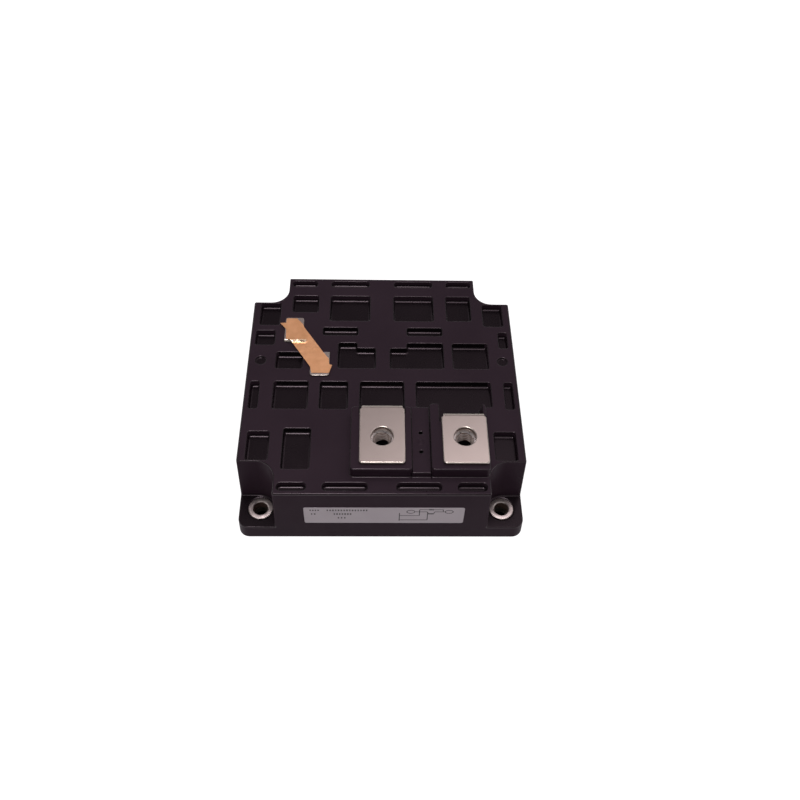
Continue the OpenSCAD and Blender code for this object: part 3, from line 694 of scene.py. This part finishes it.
def on_label(x, z, lift):
    """Point on the label's face at world x and height z, in millimetres."""
    start = Vector((0, label_low.y, label_low.z))
    point = start + UP * ((z - label_low.z) / UP.z) + OUT * lift
    point.x = x
    return point


def ink_bar(bm, a, b, width):
    """Thin printed bar from a to b, each an (x, z) pair on the label."""
    along = Vector((b[0] - a[0], b[1] - a[1])).normalized()
    side = Vector((-along.y, along.x)) * width / 2
    corners = [(a[0] + side.x, a[1] + side.y), (b[0] + side.x, b[1] + side.y),
               (b[0] - side.x, b[1] - side.y), (a[0] - side.x, a[1] - side.y)]
    top = [bm.verts.new(on_label(x, z, INK)) for x, z in corners]
    bottom = [bm.verts.new(on_label(x, z, -INK)) for x, z in corners]
    bm.faces.new(top)
    bm.faces.new(bottom[::-1])
    for k in range(4):
        n = (k + 1) % 4
        bm.faces.new((top[k], bottom[k], bottom[n], top[n]))


def ink_line(bm, points):
    for a, b in zip(points, points[1:]):
        ink_bar(bm, a, b, LINE_W)


def ink_ring(bm, x, z):
    count = 32
    turns = [math.tau * k / count for k in range(count + 1)]
    ink_line(bm, [(x + RING_RX * math.cos(t), z + RING_RZ * math.sin(t)) for t in turns])


def ink_word(bm, x0, x1, z, height):
    """Row of upright blocks that stands where print would be."""
    count = round((x1 - x0) / WORD_PITCH)
    for k in range(count):
        x = x0 + (k + 0.5) * (x1 - x0) / count
        wide = 0.55 + 0.35 * abs(noise.noise(Vector((x * 2.1, z, 0))))
        ink_bar(bm, (x, z - height / 2), (x, z + height / 2), wide)


def label_print():
    """All marks on the label: blocks for print, and a plain circuit sketch."""
    bm = bmesh.new()
    for x0, x1, depth, height in WORDS:
        ink_word(bm, x0, x1, label_high.z - depth, height)
    wire_z = label_high.z - WIRE_DEPTH
    top_z = label_high.z - TOP_DEPTH
    for x in RING_XS:
        ink_ring(bm, x, wire_z)
    for points in SKETCH:
        ink_line(bm, [(x, wire_z + up) for x, up in points])
    ink_bar(bm, (20.7, top_z), (22.1, top_z), 1.0)
    ink_bar(bm, (22.5, top_z - 0.6), (22.5, top_z + 0.6), LINE_W)
    bmesh.ops.recalc_face_normals(bm, faces=bm.faces)
    add_piece("label_print", bm, print_ink, "label_film")


label_print()


# ---------- studio ----------

FLOOR_SIZE = 3.0
FLOOR_Z = -0.00002
FLOOR_COLOUR = 0.42
FLOOR_GLOW = 0.84                                # with the light that falls on it, this shows white
UNDER_PART = 0.060                               # the floor is painted dark within this of the middle: painted shade under the part
# The room that lights the object and that it reflects: dark in front, lighter behind
ROOM_COLOUR = (1.0, 0.9, 0.95, 1)
ROOM_FRONT, ROOM_BACK = 0.13, 0.37
ROOM_TURNS = (-0.35, 0.15)                       # from front to back between these Y on a unit sphere
ROOM_RIGHT = 0.4                                 # how much of that is left on the right
RIGHT_TURNS = (0.11, 0.24)                       # it fades to the right between these X
CEILING = 8.0                                    # how much brighter the ceiling is than the walls
CEILING_TURNS = (0.87, 0.91)                     # it starts between these heights
CEILING_LEAN = 0.45                              # how much lower it is on the right
HORIZON_TURNS = (0.25, 0.40)                     # below these heights metal shows the white background
# The main view
CAMERA_AT_MM = (-3.54, -246.57, 352.08)
CAMERA_YAW, CAMERA_PITCH, CAMERA_ROLL = 2.906, 53.563, -2.676
LENS_MM, SENSOR_MM = 38.34, 36


def ranged(tree, source, turns, low, high):
    """A value that eases from low to high as the source passes the two turns."""
    node = tree.nodes.new("ShaderNodeMapRange")
    node.interpolation_type = "SMOOTHSTEP"
    node.inputs["From Min"].default_value = turns[0]
    node.inputs["From Max"].default_value = turns[1]
    node.inputs["To Min"].default_value = low
    node.inputs["To Max"].default_value = high
    tree.links.new(source, node.inputs["Value"])
    return node.outputs["Result"]


def combined(tree, operation, first, second):
    """Two values put together; the second may be a plain number."""
    node = tree.nodes.new("ShaderNodeMath")
    node.operation = operation
    tree.links.new(first, node.inputs[0])
    if isinstance(second, (int, float)):
        node.inputs[1].default_value = second
    else:
        tree.links.new(second, node.inputs[1])
    return node.outputs["Value"]


def split_of(tree, coordinates):
    """The X, Y and Z outputs of one of the texture coordinates."""
    node = tree.nodes.new("ShaderNodeSeparateXYZ")
    source = tree.nodes.new("ShaderNodeTexCoord").outputs[coordinates]
    tree.links.new(source, node.inputs["Vector"])
    return node.outputs


def floor_material():
    """White floor that keeps the object's shadow, and is painted dark under the part: painted shade."""
    mat = bpy.data.materials.new("studio_floor")
    mat.use_nodes = True
    tree = mat.node_tree
    tree.nodes.clear()
    out = tree.nodes.new("ShaderNodeOutputMaterial")
    diffuse = tree.nodes.new("ShaderNodeBsdfDiffuse")
    glow = tree.nodes.new("ShaderNodeEmission")
    spot = split_of(tree, "Object")
    away = combined(tree, "MAXIMUM", combined(tree, "ABSOLUTE", spot["X"], 0),
                    combined(tree, "ABSOLUTE", spot["Y"], 0))
    # No colour and no glow within UNDER_PART of the middle: painted shade under the part
    open_floor = combined(tree, "GREATER_THAN", away, UNDER_PART)
    tree.links.new(combined(tree, "MULTIPLY", open_floor, FLOOR_COLOUR), diffuse.inputs["Color"])
    path = tree.nodes.new("ShaderNodeLightPath").outputs
    seen = combined(tree, "MAXIMUM", path["Is Camera Ray"], path["Is Glossy Ray"])
    seen = combined(tree, "MAXIMUM", seen, path["Is Transmission Ray"])
    shown = combined(tree, "MULTIPLY", seen, FLOOR_GLOW)
    tree.links.new(combined(tree, "MULTIPLY", shown, open_floor), glow.inputs["Strength"])
    both = tree.nodes.new("ShaderNodeAddShader")
    tree.links.new(diffuse.outputs["BSDF"], both.inputs[0])
    tree.links.new(glow.outputs["Emission"], both.inputs[1])
    tree.links.new(both.outputs["Shader"], out.inputs["Surface"])
    return mat


def add_floor():
    half = FLOOR_SIZE / 2
    bm = bmesh.new()
    corners = [(-half, -half), (half, -half), (half, half), (-half, half)]
    bm.faces.new([bm.verts.new((x, y, FLOOR_Z)) for x, y in corners])
    mesh = bpy.data.meshes.new("floor")
    bm.to_mesh(mesh)
    bm.free()
    floor = bpy.data.objects.new("floor", mesh)
    bpy.context.scene.collection.objects.link(floor)
    paint(floor, floor_material())


def add_world():
    """White for the camera, through glass and for metal near the horizon; the room elsewhere."""
    world = bpy.data.worlds.new("studio")
    bpy.context.scene.world = world
    world.use_nodes = True
    tree = world.node_tree
    tree.nodes.clear()
    out = tree.nodes.new("ShaderNodeOutputWorld")
    white = tree.nodes.new("ShaderNodeBackground")
    white.inputs["Color"].default_value = (1, 1, 1, 1)
    room = tree.nodes.new("ShaderNodeBackground")
    room.inputs["Color"].default_value = ROOM_COLOUR
    way = split_of(tree, "Generated")
    walls = ranged(tree, way["Y"], ROOM_TURNS, ROOM_FRONT, ROOM_BACK)
    lean = combined(tree, "MULTIPLY", way["X"], CEILING_LEAN)
    level = combined(tree, "ADD", way["Z"], lean)
    ceiling = ranged(tree, level, CEILING_TURNS, 1, CEILING)
    shade = ranged(tree, way["X"], RIGHT_TURNS, 1, ROOM_RIGHT)
    lit = combined(tree, "MULTIPLY", combined(tree, "MULTIPLY", walls, ceiling), shade)
    tree.links.new(lit, room.inputs["Strength"])
    path = tree.nodes.new("ShaderNodeLightPath").outputs
    seen = combined(tree, "MAXIMUM", path["Is Camera Ray"], path["Is Transmission Ray"])
    near_horizon = ranged(tree, way["Z"], HORIZON_TURNS, 1, 0)
    mirrored = combined(tree, "MULTIPLY", path["Is Glossy Ray"], near_horizon)
    mix = tree.nodes.new("ShaderNodeMixShader")
    tree.links.new(combined(tree, "MAXIMUM", seen, mirrored), mix.inputs["Fac"])
    tree.links.new(room.outputs["Background"], mix.inputs[1])
    tree.links.new(white.outputs["Background"], mix.inputs[2])
    tree.links.new(mix.outputs["Shader"], out.inputs["Surface"])


def add_lamp(name, place, aim, size, watts):
    """Square lamp; place, aim and size are in metres."""
    lamp = bpy.data.lights.new(name, "AREA")
    lamp.size = size
    lamp.energy = watts
    obj = bpy.data.objects.new(name, lamp)
    bpy.context.scene.collection.objects.link(obj)
    obj.location = place
    obj.rotation_euler = (Vector(aim) - Vector(place)).to_track_quat("-Z", "Y").to_euler()


def add_camera():
    """Camera turned by its yaw, looking down by its pitch and tilted by its roll, in degrees."""
    camera = bpy.data.cameras.new("camera")
    camera.sensor_width = SENSOR_MM
    camera.lens = LENS_MM
    obj = bpy.data.objects.new("camera", camera)
    bpy.context.scene.collection.objects.link(obj)
    yaw, pitch, roll = (math.radians(v) for v in (CAMERA_YAW, CAMERA_PITCH, CAMERA_ROLL))
    forward = Vector((math.sin(yaw) * math.cos(pitch), math.cos(yaw) * math.cos(pitch), -math.sin(pitch)))
    right = Vector((math.cos(yaw), -math.sin(yaw), 0))
    down = forward.cross(right)
    turned_right = math.cos(roll) * right + math.sin(roll) * down
    turned_down = math.cos(roll) * down - math.sin(roll) * right
    turned = Matrix((turned_right, -turned_down, -forward)).transposed().to_4x4()
    obj.matrix_world = Matrix.Translation(Vector(CAMERA_AT_MM) * MM) @ turned
    bpy.context.scene.camera = obj


add_floor()
add_world()
add_lamp("overhead", place=(-0.08, -0.25, 0.87), aim=(0, 0, 0.02), size=0.24, watts=3.0)
add_camera()
bpy.context.scene.view_settings.view_transform = "Standard"
